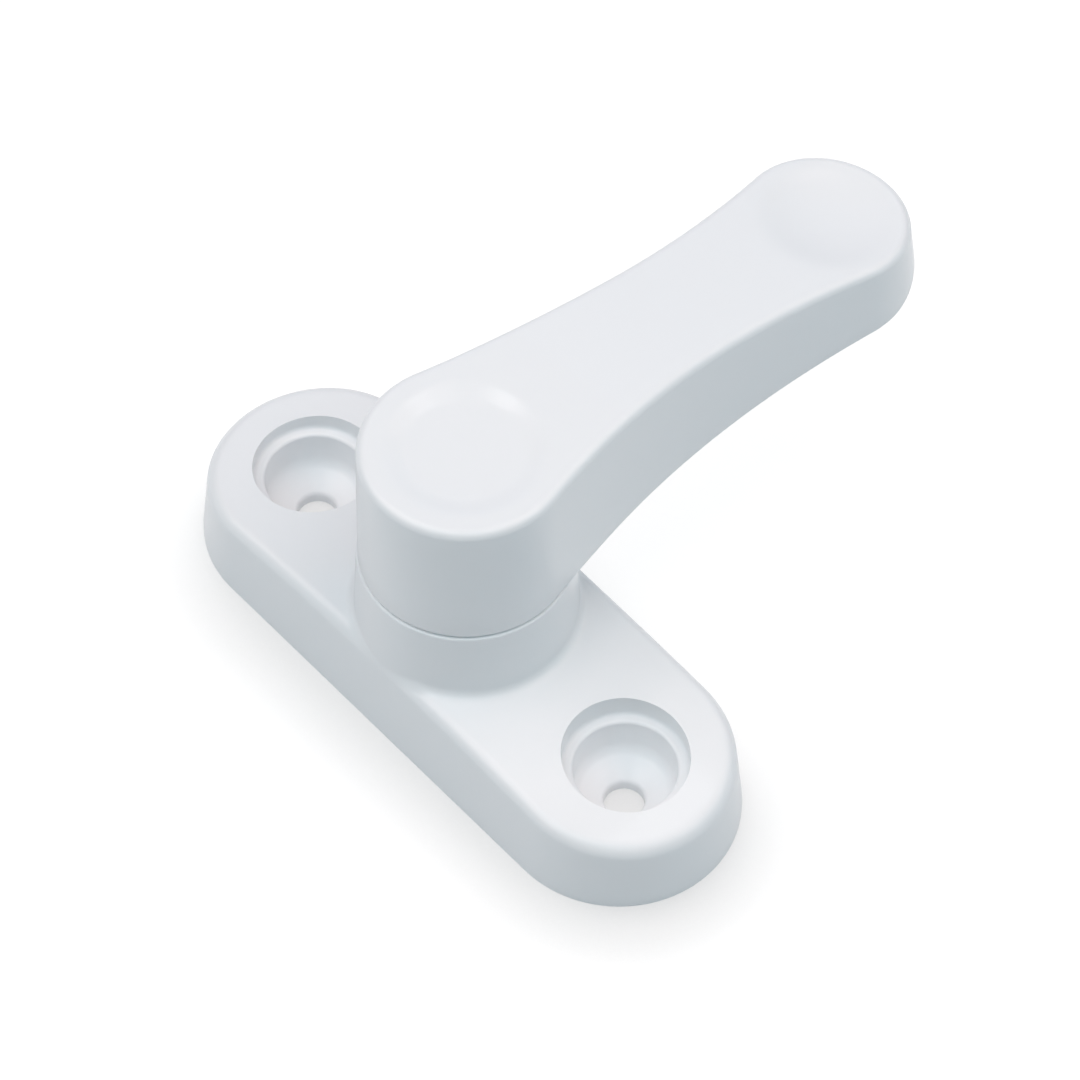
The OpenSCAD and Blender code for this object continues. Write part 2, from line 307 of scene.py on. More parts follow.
class Nodes:
    """A node tree whose nodes are all added by one method."""

    def __init__(self, tree: bpy.types.NodeTree) -> None:
        """Keeps the tree."""
        self.tree = tree

    def node(self, kind: str, settings: dict | None = None, **inputs: object) -> bpy.types.Node:
        """Adds a node.

        Args:
            kind: The node's type.
            settings: Its properties, which are set first.
            inputs: Values or links of its sockets, with underscores for spaces.

        Returns:
            The node.
        """
        made = self.tree.nodes.new(kind)
        for key, value in (settings or {}).items():
            setattr(made, key, value)
        for key, value in inputs.items():
            self.put(made.inputs[key.replace("_", " ")], value)
        return made

    def put(self, place: bpy.types.NodeSocket, value: object) -> None:
        """Gives an input a link or a constant.

        Args:
            place: The input.
            value: A value in the tree, an output or a constant.
        """
        if isinstance(value, Socket):
            self.tree.links.new(value.link, place)
        elif isinstance(value, bpy.types.NodeSocket):
            self.tree.links.new(value, place)
        else:
            place.default_value = value

    def out(self, node: bpy.types.Node, name: str | int = 0) -> Socket:
        """Wraps one output of a node."""
        return Socket(self.tree, node.outputs[name])

    def combined(self, kind: str, *values: object) -> bpy.types.NodeSocket:
        """Adds a node that mixes or adds shaders.

        Args:
            kind: The node's type.
            values: What its inputs get, in their order.

        Returns:
            The node's output.
        """
        made = self.node(kind)
        for place, value in zip(made.inputs, values):
            self.put(place, value)
        return made.outputs[0]


class Shader(Nodes):
    """A material's node tree with its Principled shader."""

    def __init__(self, name: str) -> None:
        """Makes the material and finds its shader and output.

        Args:
            name: The material's name.
        """
        self.material = bpy.data.materials.new(name)
        self.material.use_nodes = True
        super().__init__(self.material.node_tree)
        self.surface = self.tree.nodes["Principled BSDF"]
        self.output = self.tree.nodes["Material Output"]

    def place(self) -> bpy.types.NodeSocket:
        """Returns the object's own coordinates."""
        return self.node("ShaderNodeTexCoord").outputs["Object"]

    def noise(self, size: float, detail: float) -> Socket:
        """Returns noise with blotches of about a size in metres."""
        made = self.node("ShaderNodeTexNoise", Vector=self.place(), Scale=1 / size, Detail=detail)
        return self.out(made, "Fac")

    def bump(self, height: Socket, depth: float) -> bpy.types.NodeSocket:
        """Returns a normal bent by a height of up to a depth in metres."""
        return self.node("ShaderNodeBump", Height=height, Distance=depth, Strength=1.0).outputs["Normal"]


@dataclass(frozen=True)
class PowderCoat:
    """Gloss white powder coat on a zinc casting."""

    name: str
    colour: tuple[float, float, float] = (0.86, 0.872, 0.885)
    roughness: float = 0.35
    roughness_spread: float = 0.05
    shine: float = 0.25
    coat: float = 0.3
    coat_roughness: float = 0.04
    flow_size: float = 2.2 * MM
    flow_detail: float = 1.0
    flow_depth: float = 0.0012 * MM
    fleck_size: float = 0.35 * MM
    fleck_detail: float = 2.0
    fleck_depth: float = 0.0003 * MM

    def material(self) -> bpy.types.Material:
        """Makes the coat: nearly level, with the slow swell and the fine flecks of baked powder.

        Returns:
            The material.
        """
        shader = Shader(self.name)
        swell = shader.noise(self.flow_size, self.flow_detail)
        flecks = shader.noise(self.fleck_size, self.fleck_detail)
        height = swell * (self.flow_depth / self.fleck_depth) + flecks
        roughness = self.roughness + (flecks - NOISE_MEAN) * self.roughness_spread
        shader.put(shader.surface.inputs["Base Color"], (*self.colour, 1.0))
        shader.put(shader.surface.inputs["Roughness"], roughness)
        shader.put(shader.surface.inputs["Specular IOR Level"], self.shine)
        shader.put(shader.surface.inputs["Coat Weight"], self.coat)
        shader.put(shader.surface.inputs["Coat Roughness"], self.coat_roughness)
        shader.put(shader.surface.inputs["Normal"], shader.bump(height, self.fleck_depth))
        return shader.material


@dataclass(frozen=True)
class Nylon:
    """Natural nylon of the slip washer."""

    name: str = "natural_nylon"
    colour: tuple[float, float, float] = (0.8, 0.79, 0.75)
    roughness: float = 0.45
    roughness_spread: float = 0.2
    grain_size: float = 0.4 * MM
    grain_detail: float = 3.0
    grain_depth: float = 0.002 * MM

    def material(self) -> bpy.types.Material:
        """Makes a waxy plastic with a fine moulded grain.

        Returns:
            The material.
        """
        shader = Shader(self.name)
        grain = shader.noise(self.grain_size, self.grain_detail)
        roughness = self.roughness + (grain - NOISE_MEAN) * self.roughness_spread
        shader.put(shader.surface.inputs["Base Color"], (*self.colour, 1.0))
        shader.put(shader.surface.inputs["Roughness"], roughness)
        shader.put(shader.surface.inputs["Normal"], shader.bump(grain, self.grain_depth))
        return shader.material


@dataclass(frozen=True)
class PlatedSteel:
    """Steel of the screw and the washers, turned or rolled."""

    name: str
    colour: tuple[float, float, float] = (0.66, 0.67, 0.69)
    roughness: float = 0.3
    roughness_spread: float = 0.2
    mark_roughness: float = 0.05
    mark_size: float = 0.25 * MM
    mark_bend: float = 2.0
    mark_detail: float = 2.0
    mark_depth: float = 0.001 * MM
    blotch_size: float = 1.5 * MM
    blotch_detail: float = 3.0

    def material(self) -> bpy.types.Material:
        """Makes plated steel with circular tool marks about the pivot.

        Returns:
            The material.
        """
        shader = Shader(self.name)
        marks = shader.node("ShaderNodeTexWave", {"wave_type": "RINGS", "rings_direction": "Z"},
                            Vector=shader.place(), Scale=1 / (WAVE_PHASE * self.mark_size),
                            Distortion=self.mark_bend, Detail=self.mark_detail)
        lines = shader.out(marks, "Fac")
        blotch = shader.noise(self.blotch_size, self.blotch_detail)
        roughness = self.roughness + (blotch - NOISE_MEAN) * self.roughness_spread
        roughness = roughness + lines * self.mark_roughness
        shader.put(shader.surface.inputs["Base Color"], (*self.colour, 1.0))
        shader.put(shader.surface.inputs["Metallic"], 1.0)
        shader.put(shader.surface.inputs["Roughness"], roughness)
        shader.put(shader.surface.inputs["Normal"], shader.bump(lines, self.mark_depth))
        return shader.material


@dataclass
class BasePlate:
    """The white base plate with its boss, recesses and hollow underside. Sizes are in millimetres."""

    length: float = 60.0
    width: float = 21.2
    height: float = 8.9
    crown_drop: float = 1.9
    land: float = 0.5
    draft: float = math.radians(6.0)
    edge: float = 1.1
    wall: float = 1.8
    rib: float = 1.5
    rib_drop: float = 1.2
    boss_radius: float = 9.3
    boss_top: float = 16.5
    boss_draft: float = math.radians(3.0)
    boss_edge: float = 0.2
    foot: float = 0.8
    foot_fade: float = 1.8
    hole_spacing: float = 40.4
    mouth_radius: float = 5.45
    mouth_depth: float = 1.9
    mouth_bend: float = 0.35
    mouth_steps: int = 4
    lip: float = 0.08
    proud: float = 0.8
    bore_radius: float = 4.45
    bore_taper: float = 0.12
    ledge_bend: float = 0.3
    ledge_steps: int = 5
    floor_z: float = 2.5
    floor_bend: float = 1.5
    floor_lift: float = 1.04
    floor_turn: float = 60.0
    floor_steps: int = 10
    hole_radius: float = 1.75
    hole_length: float = 1.1
    hole_bend: float = 0.6
    hole_sink: float = 0.33
    hole_turn: float = 122.0
    hole_steps: int = 8
    recess_segments: int = 128
    tube_wall: float = 1.5
    seat_radius: float = 7.35
    seat_z: float = 15.8
    spindle_radius: float = 4.06
    guide_radius: float = 5.9
    guide_foot: float = 5.8
    guide_chamfer: float = 0.2
    chamfer: float = 0.12
    pocket_radius: float = 7.5
    pocket_top: float = 13.8
    pocket_bend: float = 0.6
    pocket_steps: int = 4
    overrun: float = 1.0
    plan_steps: int = 24
    tube_segments: int = 96
    boss_segments: int = 128
    roof_shares: tuple[float, ...] = (0.75, 0.5, 0.25, 0.0)
    spokes: int = 368
    rows: int = 84
    pace: float = 0.05
    probe: float = 1e-4
    settling: int = 2
    bend_weight: float = 1.6
    bend_limit: float = 0.3
    finish: PowderCoat = field(default_factory=lambda: PowderCoat("base_white"))

    def __post_init__(self) -> None:
        """Works out the crown's arc, the height of the boss's foot and the outline's straight stretch."""
        self.end_radius = self.width / 2
        self.straight = self.length / 2 - self.end_radius
        self.crown_radius = ((self.length / 2) ** 2 + self.crown_drop ** 2) / (2 * self.crown_drop)
        self.boss_root = self.crown(self.boss_radius)

    def crown(self, x: float) -> float:
        """Returns the height of the crowned top at a distance along the plate."""
        return self.height - self.crown_radius + math.sqrt(self.crown_radius ** 2 - x * x)

    def outside(self, x: float, y: float, z: float) -> float:
        """Works out how far a point lies outside the plate and boss, which meet in a fillet.

        Args:
            x: Place along the plate.
            y: Place across the plate.
            z: Height above the mounting face.

        Returns:
            The distance, which is less than zero inside.
        """
        across = math.hypot(max(abs(x) - self.straight, 0.0), y)
        lean = max(0.0, z - self.land) * math.tan(self.draft)
        side = (across - self.end_radius + lean) * math.cos(self.draft)
        plate = self._rounded(side, z - self.crown(x), self.edge)
        below = self.boss_top - max(z, self.boss_root)
        wall = math.hypot(x, y) - self.boss_radius - below * math.tan(self.boss_draft)
        boss = self._rounded(wall * math.cos(self.boss_draft), z - self.boss_top, self.boss_edge)
        foot = self.foot * ease((self.end_radius - abs(y)) / self.foot_fade)
        apart = math.hypot(max(foot - plate, 0.0), max(foot - boss, 0.0))
        return max(foot, min(plate, boss)) - apart

    @staticmethod
    def _rounded(side: float, top: float, radius: float) -> float:
        """Returns the distance outside a corner of two faces that is rounded by a radius."""
        a, b = side + radius, top + radius
        return min(max(a, b), 0.0) + math.hypot(max(a, 0.0), max(b, 0.0)) - radius

    def outline(self) -> list[tuple[float, float]]:
        """Lays out the plate's foot, evenly spaced and in step with the spokes.

        Returns:
            X and Y of each point.
        """
        bend = math.pi * self.end_radius
        total = 2 * bend + 4 * self.straight
        points = []
        for k in range(self.spokes):
            way = (total * k / self.spokes + bend / 2) % total
            half, rest = divmod(way, total / 2)
            sign = 1 if half == 0 else -1
            if rest < bend:
                turn = rest / self.end_radius - math.pi / 2
                spot = (self.straight + self.end_radius * math.cos(turn), self.end_radius * math.sin(turn))
            else:
                spot = (self.straight - (rest - bend), self.end_radius)
            points.append((sign * spot[0], sign * spot[1]))
        return points

    def trace(self, end: tuple[float, float]) -> list[Vector]:
        """Walks down the surface from the boss's top edge to a point of the foot.

        Args:
            end: X and Y of the foot's point.

        Returns:
            Points on the surface in one upright plane, evenly spread but closer in tight bends.
        """
        reach = math.hypot(*end)
        way = (end[0] / reach, end[1] / reach)
        u, z = self.boss_radius - self.boss_edge, self.boss_top
        path = [(u, z)]
        turns = [0.0]
        step = self.probe
        while z > self.land:
            for _ in range(self.settling):
                here = self.outside(u * way[0], u * way[1], z)
                du = (self.outside((u + step) * way[0], (u + step) * way[1], z) - here) / step
                dz = (self.outside(u * way[0], u * way[1], z + step) - here) / step
                steep = du * du + dz * dz
                u, z = u - here * du / steep, z - here * dz / steep
            size = math.sqrt(steep)
            path.append((u, z))
            turns.append(math.atan2(du, dz))
            u, z = u + self.pace * dz / size, z - self.pace * du / size
        weights = [0.0]
        for k in range(1, len(path)):
            bend = abs(turns[k] - turns[k - 1]) if k > 1 else 0.0
            extra = self.bend_weight * min(bend, self.bend_limit)
            weights.append(weights[-1] + math.dist(path[k], path[k - 1]) + extra)
        picked, k = [], 0
        for row in range(self.rows):
            goal = weights[-1] * row / (self.rows - 1)
            while k < len(path) - 2 and weights[k + 1] < goal:
                k += 1
            share = (goal - weights[k]) / max(weights[k + 1] - weights[k], NEAR)
            u = path[k][0] + (path[k + 1][0] - path[k][0]) * share
            z = path[k][1] + (path[k + 1][1] - path[k][1]) * share
            picked.append(Vector((u * way[0], u * way[1], z)))
        picked[-1] = Vector((end[0], end[1], self.land))
        return picked

    def skin(self) -> bmesh.types.BMesh:
        """Makes the plate's outside and the pivot's inside as one closed ring of strips.

        Returns:
            The skin.
        """
        ends = self.outline()
        ways = [math.atan2(y, x) for x, y in ends]
        soft, slant, bend, top = self.chamfer, self.guide_chamfer, self.pocket_bend, self.pocket_top
        inner = [(self.pocket_radius, 0.0), (self.pocket_radius, top - bend)]
        inner += arc((self.pocket_radius - bend, top - bend), bend, 0, 90, self.pocket_steps)[1:]
        inner += [(self.guide_radius + slant, top), (self.guide_radius, top - slant)]
        inner += [(self.guide_radius, self.guide_foot + soft), (self.guide_radius - soft, self.guide_foot)]
        inner.append((self.spindle_radius + soft, self.guide_foot))
        inner.append((self.spindle_radius, self.guide_foot + soft))
        inner += [(self.spindle_radius, self.seat_z - soft), (self.spindle_radius + soft, self.seat_z)]
        inner += [(self.seat_radius, self.seat_z), (self.seat_radius, self.boss_top - soft)]
        inner.append((self.seat_radius + soft, self.boss_top))
        rings = [[Vector((r * math.cos(t), r * math.sin(t), z)) for t in ways] for r, z in inner]
        traces = [self.trace(end) for end in ends]
        rings += [[points[row] for points in traces] for row in range(self.rows)]
        rings.append([Vector((x, y, 0.0)) for x, y in ends])
        rings.append(rings[0])
        return loft(rings, End.OPEN, End.MERGED)

    def recess(self, side: int) -> bmesh.types.BMesh:
        """Makes the solid that cuts one stepped screw recess, its lip following the crowned top.

        Args:
            side: 1 for the recess on the side of positive X, and -1 for the other.

        Returns:
            The solid.
        """
        middle = side * self.hole_spacing / 2
        ledge = self.crown(middle) - self.mouth_depth
        profile = arc((self.mouth_radius - self.mouth_bend, ledge + self.mouth_bend), self.mouth_bend,
                      0, -90, self.mouth_steps)
        profile += arc((self.bore_radius + self.ledge_bend, ledge - self.ledge_bend), self.ledge_bend,
                       90, 180, self.ledge_steps)
        wide = self.bore_radius - self.bore_taper - self.floor_bend
        profile += arc((wide, self.floor_z + self.floor_lift), self.floor_bend,
                       0, -self.floor_turn, self.floor_steps)
        profile += arc((self.hole_radius + self.hole_bend, self.hole_length - self.hole_sink),
                       self.hole_bend, self.hole_turn, 180, self.hole_steps)
        profile.append((self.hole_radius, -self.proud))
        rises = [(self.proud, self.proud), (self.lip / 3, 0.0), (0.0, -self.lip)]
        mouth = [(self.mouth_radius, 0.0)] * len(rises)
        rings = turned(mouth + profile, self.recess_segments, (middle, 0.0))
        for ring, (out, up) in zip(rings, rises):
            for point in ring:
                away = Vector((point.x - middle, point.y, 0.0)).normalized()
                point += away * out
                point.z = self.crown(point.x) + up
        return loft(rings)

    def hollow(self) -> bmesh.types.BMesh:
        """Makes the solid that hollows the underside, with the tubes and ribs left standing.

        Returns:
            The solid.
        """
        lean = (self.height - self.edge - self.land) * math.tan(self.draft)
        inset = self.wall + lean / 2
        radius, run = self.end_radius - inset, self.straight
        plan = []
        for side in (1, -1):
            for k in range(self.plan_steps + 1):
                t = math.pi * (k / self.plan_steps - 0.5)
                plan.append((side * (run + radius * math.cos(t)), side * radius * math.sin(t)))
            for k in range(1, self.plan_steps):
                plan.append((side * (run - 2 * run * k / self.plan_steps), side * radius))
        roof = [Vector((x, y, self.crown(x) - self.wall)) for x, y in plan]
        rings = [[Vector((x, y, -self.overrun)) for x, y in plan], roof]
        for share in self.roof_shares:
            rings.append([Vector((p.x, p.y * share, p.z)) for p in roof])
        core = to_object(loft(rings, End.FLAT, End.MERGED), "core")
        low, high = -2 * self.overrun, self.height + self.overrun
        tube = self.mouth_radius + self.tube_wall
        for side in (-1, 1):
            middle = side * self.hole_spacing / 2
            post = turned([(tube, low), (tube, self.height)], self.tube_segments, (middle, 0.0))
            carve(core, loft(post))
            carve(core, block((middle - self.rib / 2, -self.width, self.rib_drop),
                              (middle + self.rib / 2, self.width, high)))
        post = turned([(self.boss_radius, low), (self.boss_radius, self.boss_top)], self.boss_segments)
        carve(core, loft(post))
        reach = self.hole_spacing / 2
        carve(core, block((-reach, -self.rib / 2, self.rib_drop), (reach, self.rib / 2, high)))
        return from_object(core)

    def build(self) -> bpy.types.Object:
        """Builds the casting, dresses it and puts it in place of its CAD node.

        Returns:
            The casting.
        """
        piece = to_object(self.skin(), "base_casting")
        carve(piece, self.hollow())
        for side in (-1, 1):
            carve(piece, self.recess(side))
        to_metres(piece)
        piece.data.materials.clear()
        piece.data.materials.append(self.finish.material())
        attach(piece, "base")
        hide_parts("base_plate")
        return piece


@dataclass
class Lever:
    """The white lever with its hub, arm, dishes, spindle and hollow underside. Sizes are in millimetres."""

    hub: float = 9.0
    top: float = 30.9
    reach: float = 41.0
    tip: float = 7.45
    waist: float = 6.0
    fall: float = 4.5
    fall_share: float = 0.75
    fall_soft: float = 0.34
    rise: float = 3.3
    rise_soft: float = 0.2
    lift: float = 2.0
    foot_z: float = 16.7
    foot_chamfer: float = 0.2
    foot_height: float = 4.0
    pad_drop: float = 0.05
    draft: float = math.radians(0.8)
    flare: float = 0.5
    edge: float = 0.8
    edge_steps: int = 8
    lower_edge: float = 0.18
    lower_steps: int = 3
    wall: float = 1.8
    wall_shares: tuple[float, ...] = (0.2, 0.4, 0.6, 0.8)
    roof: float = 2.3
    rib: float = 1.3
    rib_lift: float = 1.0
    ribs: int = 3
    web_steps: int = 10
    hub_dish: float = 6.8
    hub_dish_depth: float = 0.55
    brim_share: float = 1.06
    floor_share: float = 0.7
    step_share: float = 0.8
    bowl_share: float = 0.2
    thumb_dish: float = 6.1
    thumb_dish_depth: float = 0.8
    thumb_shift: float = 0.5
    thumb_blend: float = 0.22
    spindle: float = 4.0
    spindle_foot: float = 4.8
    spindle_chamfer: float = 0.4
    spindle_root: float = 0.25
    root_steps: int = 3
    spindle_segments: int = 128
    screw_bore: float = 1.8
    bore_length: float = 8.5
    bore_bevel: float = 0.3
    bore_segments: int = 64
    root_wall: float = 1.5
    cores: int = 6
    core_bend: float = 0.5
    core_bend_steps: int = 4
    core_pace: int = 2
    core_lid_shares: tuple[float, ...] = (0.66, 0.33, 0.0)
    core_sweep_steps: int = 16
    core_edge: float = 0.35
    core_edge_steps: int = 3
    core_edge_angle: float = 60.0
    overrun: float = 1.0
    overlap: float = 0.4
    hub_steps: int = 56
    side_steps: int = 80
    tip_steps: int = 46
    rings: int = 40
    under_rings: int = 12
    finish: PowderCoat = field(default_factory=lambda: PowderCoat("lever_white"))

    def __post_init__(self) -> None:
        """Works out the hollow side arcs, which touch the hub's and the tip's circles."""
        a = (self.reach ** 2 + self.hub ** 2 - self.tip ** 2) / (2 * self.reach)
        b = (self.hub - self.tip) / self.reach
        linear = 2 * a * b - 2 * (self.hub - self.waist)
        rest = a * a - self.hub ** 2 + self.waist ** 2
        self.side = 2 * rest / (math.sqrt(linear ** 2 - 4 * b * b * rest) - linear)
        self.side_x = self.side + self.waist
        self.side_y = a + b * self.side
        self.hub_turn = math.atan2(self.side_y, self.side_x)
        self.tip_turn = math.atan2(self.reach - self.side_y, self.side_x)
        self.end_y = self.reach + self.tip
        self.rise_start = self.hub * math.sin(self.hub_turn)
        self.fall_start = self.fall_share * self.hub
        self.core_start = self.hub + self.wall
        self.ball = (self.thumb_dish ** 2 + self.thumb_dish_depth ** 2) / (2 * self.thumb_dish_depth)
        tilt = math.atan(self.fall / (self.end_y - self.fall_start) / (1 - self.fall_soft / 2))
        spot, lift = self.reach + self.thumb_shift, self.ball - self.thumb_dish_depth
        self.ball_centre = (spot + lift * math.sin(tilt), self.top_z(spot) + lift * math.cos(tilt))

    def top_z(self, y: float) -> float:
        """Returns the height of the undished top along the lever."""
        share = (y - self.fall_start) / (self.end_y - self.fall_start)
        return self.top - self.fall * ramp(share, self.fall_soft)

    def under_z(self, y: float) -> float:
        """Returns the height of the underside along the lever."""
        rise = self.rise * ramp((y - self.rise_start) / (self.reach - self.rise_start), self.rise_soft)
        return self.foot_z + self.pad_drop + rise + self.lift * (max(0.0, y - self.reach) / self.tip) ** 2

    def spread(self, y: float) -> float:
        """Returns how far the lower edge stands out beyond the top's outline along the lever."""
        share = (y - self.core_start) / (self.reach - self.core_start)
        return (self.top_z(y) - self.under_z(y)) * math.tan(self.draft) + self.flare * ease(share)

    def dished(self, x: float, y: float) -> float:
        """Works out the height of the top with its hub dish and its thumb dish.

        Args:
            x: Place across the lever.
            y: Place along the lever.

        Returns:
            The height.
        """
        level = self.top_z(y)
        away = math.hypot(x, y)
        brim, floor = self.hub_dish * self.brim_share, self.hub_dish * self.floor_share
        level -= self.hub_dish_depth * self.step_share * (1 - ease((away - floor) / (brim - floor)))
        level -= self.hub_dish_depth * self.bowl_share * max(0.0, 1 - (away / floor) ** 2)
        off = math.hypot(x, y - self.ball_centre[0])
        if off < 2 * self.thumb_dish:
            bowl = self.ball_centre[1] - math.sqrt(self.ball ** 2 - off * off)
            blend = self.thumb_blend
            mix = max(0.0, blend - abs(level - bowl)) / blend
            level = min(level, bowl) - mix * mix * blend / 4
        return level

    def half(self) -> list[tuple[Vector, Vector]]:
        """Lays out one side of the top's outline, from the hub's back to the tip.

        Returns:
            The points, each with its outward direction.
        """
        found = []
        for k in range(self.hub_steps + 1):
            t = -math.pi / 2 + (self.hub_turn + math.pi / 2) * k / self.hub_steps
            way = Vector((math.cos(t), math.sin(t), 0.0))
            found.append((way * self.hub, way))
        middle = Vector((self.side_x, self.side_y, 0.0))
        start, stop = math.pi + self.hub_turn, math.pi - self.tip_turn
        for k in range(1, self.side_steps):
            t = start + (stop - start) * k / self.side_steps
            way = Vector((math.cos(t), math.sin(t), 0.0))
            found.append((middle + way * self.side, -way))
        for k in range(self.tip_steps + 1):
            t = -self.tip_turn + (self.tip_turn + math.pi / 2) * k / self.tip_steps
            way = Vector((math.cos(t), math.sin(t), 0.0))
            found.append((Vector((0.0, self.reach, 0.0)) + way * self.tip, way))
        return found

    def whole(self) -> list[tuple[Vector, Vector]]:
        """Lays out the whole outline: one side and its mirror image.

        Returns:
            The points, each with its outward direction.
        """
        side = self.half()
        flip = Vector((-1.0, 1.0, 1.0))
        return side + [(p * flip, n * flip) for p, n in reversed(side[1:-1])]

    def inward(self, loop: Ring, shares: Iterable[float], height: Height) -> list[Ring]:
        """Draws a loop in to the lever's middle line.

        Args:
            loop: The points of the loop.
            shares: How far out each ring lies, from 1 at the loop to 0 at the middle line.
            height: The surface's height at X and Y.

        Returns:
            The rings, the outermost first.
        """
        rings = []
        for share in shares:
            ring = []
            for point in loop:
                spine = min(self.reach, max(0.0, point.y))
                x, y = point.x * share, spine + (point.y - spine) * share
                ring.append(Vector((x, y, height(x, y))))
            rings.append(ring)
        return rings

    def skin(self) -> bmesh.types.BMesh:
        """Makes the lever's closed outside, with its dishes and rounded edges.

        Returns:
            The skin.
        """
        line = self.whole()
        upper, lower = [], []
        for k in range(self.edge_steps + 1):
            a = math.pi / 2 * k / self.edge_steps
            ring = []
            for p, n in line:
                q = p - n * self.edge * (1 - math.cos(a))
                ring.append(Vector((q.x, q.y, self.top_z(q.y) - self.edge * (1 - math.sin(a)))))
            upper.append(ring)
        spread = [(p, n, self.spread(p.y)) for p, n in line]
        for k in range(self.lower_steps + 1):
            a = math.pi / 2 * (1 - k / self.lower_steps)
            ring = []
            for p, n, out in spread:
                q = p + n * (out - self.lower_edge * (1 - math.cos(a)))
                ring.append(Vector((q.x, q.y, self.under_z(p.y) + self.lower_edge * (1 - math.sin(a)))))
            lower.append(ring)
        wall = [[a.lerp(b, share) for a, b in zip(lower[-1], upper[0])] for share in self.wall_shares]
        under_shares = (1 - k / self.under_rings for k in range(1, self.under_rings + 1))
        under = self.inward(lower[0], under_shares, lambda x, y: self.under_z(y))
        lid = self.inward(upper[-1], (1 - k / self.rings for k in range(1, self.rings + 1)), self.dished)
        return loft(list(reversed(under)) + lower + wall + upper + lid, End.MERGED, End.MERGED)

    def arm_core(self) -> bmesh.types.BMesh:
        """Makes the solid that hollows the arm from below, with its ribs left standing.

        Returns:
            The solid.
        """
        line = self.whole()[::self.core_pace]
        soft = self.core_bend
        ring_low, rings = [], []
        for p, n in line:
            out = self.spread(p.y) - self.wall
            ring_low.append(Vector(((p + n * out).x, (p + n * out).y, self.foot_z - self.overrun)))
        for k in range(self.core_bend_steps + 1):
            a = math.pi / 2 * k / self.core_bend_steps
            ring = []
            for p, n in line:
                q = p - n * (self.wall + soft * (1 - math.cos(a)))
                ring.append(Vector((q.x, q.y, self.top_z(q.y) - self.roof - soft * (1 - math.sin(a)))))
            rings.append(ring)
        lid = self.inward(rings[-1], self.core_lid_shares, lambda x, y: self.top_z(y) - self.roof)
        bm = loft([ring_low] + rings + lid, End.FLAT, End.MERGED)
        bmesh.ops.bisect_plane(bm, geom=bm.verts[:] + bm.edges[:] + bm.faces[:],
                               plane_co=(0, self.core_start, 0), plane_no=(0, 1, 0), clear_inner=True)
        bmesh.ops.holes_fill(bm, edges=[e for e in bm.edges if e.is_boundary])
        bmesh.ops.recalc_face_normals(bm, faces=bm.faces)
        core = to_object(bm, "core")
        run = self.end_y - self.core_start
        for k in range(1, self.ribs + 1):
            y = self.core_start + run * k / (self.ribs + 1)
            carve(core, block((-self.hub, y - self.rib / 2, self.under_z(y) + self.rib_lift),
                              (self.hub, y + self.rib / 2, self.top)))
        places = [self.core_start - self.overlap + run * k / self.web_steps
                  for k in range(self.web_steps + 1)]
        places.append(self.end_y)
        web = loft([[Vector((x, y, self.under_z(y) + self.rib_lift)) for y in places]
                    + [Vector((x, y, self.top)) for y in reversed(places)]
                    for x in (-self.rib / 2, self.rib / 2)])
        carve(core, web)
        return from_object(core)

    def hub_core(self, number: int) -> bmesh.types.BMesh:
        """Makes one of the hollows round the spindle's root.

        Args:
            number: Which one it is, from 0 up.

        Returns:
            The solid that cuts it.
        """
        inner, outer = self.spindle + self.root_wall, self.hub - self.wall
        low, high = self.foot_z - self.overlap, self.top - self.hub_dish_depth - self.roof
        turn = 2 * math.pi / self.cores
        gap = self.rib / inner
        bm = bmesh.new()
        corners = [(inner, low), (outer, low), (outer, high), (inner, high)]
        verts = [bm.verts.new((r, 0.0, z)) for r, z in corners]
        bmesh.ops.contextual_create(bm, geom=verts)
        begin = Matrix.Rotation(number * turn + gap / 2, 3, "Z")
        bmesh.ops.rotate(bm, verts=bm.verts, cent=(0, 0, 0), matrix=begin)
        bmesh.ops.spin(bm, geom=bm.verts[:] + bm.edges[:] + bm.faces[:], cent=(0, 0, 0), axis=(0, 0, 1),
                       angle=turn - gap, steps=self.core_sweep_steps, use_merge=False, use_duplicate=False)
        bmesh.ops.remove_doubles(bm, verts=bm.verts, dist=NEAR)
        bmesh.ops.recalc_face_normals(bm, faces=bm.faces)
        soften(bm, self.core_edge, self.core_edge_steps, self.core_edge_angle,
               lambda edge: max(v.co.z for v in edge.verts) > self.foot_z)
        return bm

    def build(self) -> bpy.types.Object:
        """Builds the casting, dresses it and puts it in place of its CAD node.

        Returns:
            The casting.
        """
        piece = to_object(self.skin(), "lever_casting")
        carve(piece, self.arm_core())
        foot, slant = self.foot_z, self.foot_chamfer
        pad, point, bend = self.hub - self.edge, self.spindle_chamfer, self.spindle_root
        profile = [(self.spindle - point, self.spindle_foot), (self.spindle, self.spindle_foot + point)]
        profile.append((self.spindle, foot - bend))
        profile += arc((self.spindle + bend, foot - bend), bend, 180, 90, self.root_steps)[1:]
        profile += [(pad - slant, foot), (pad, foot + slant), (pad, foot + self.foot_height)]
        carve(piece, loft(turned(profile, self.spindle_segments)), Cut.ADD)
        for number in range(self.cores):
            carve(piece, self.hub_core(number))
        bore = [(self.screw_bore + 2 * self.bore_bevel, self.spindle_foot - self.bore_bevel)]
        bore.append((self.screw_bore, self.spindle_foot + self.bore_bevel))
        bore.append((self.screw_bore, self.spindle_foot + self.bore_length))
        carve(piece, loft(turned(bore, self.bore_segments)))
        to_metres(piece)
        piece.data.materials.clear()
        piece.data.materials.append(self.finish.material())
        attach(piece, "lever")
        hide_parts("lever")
        return piece


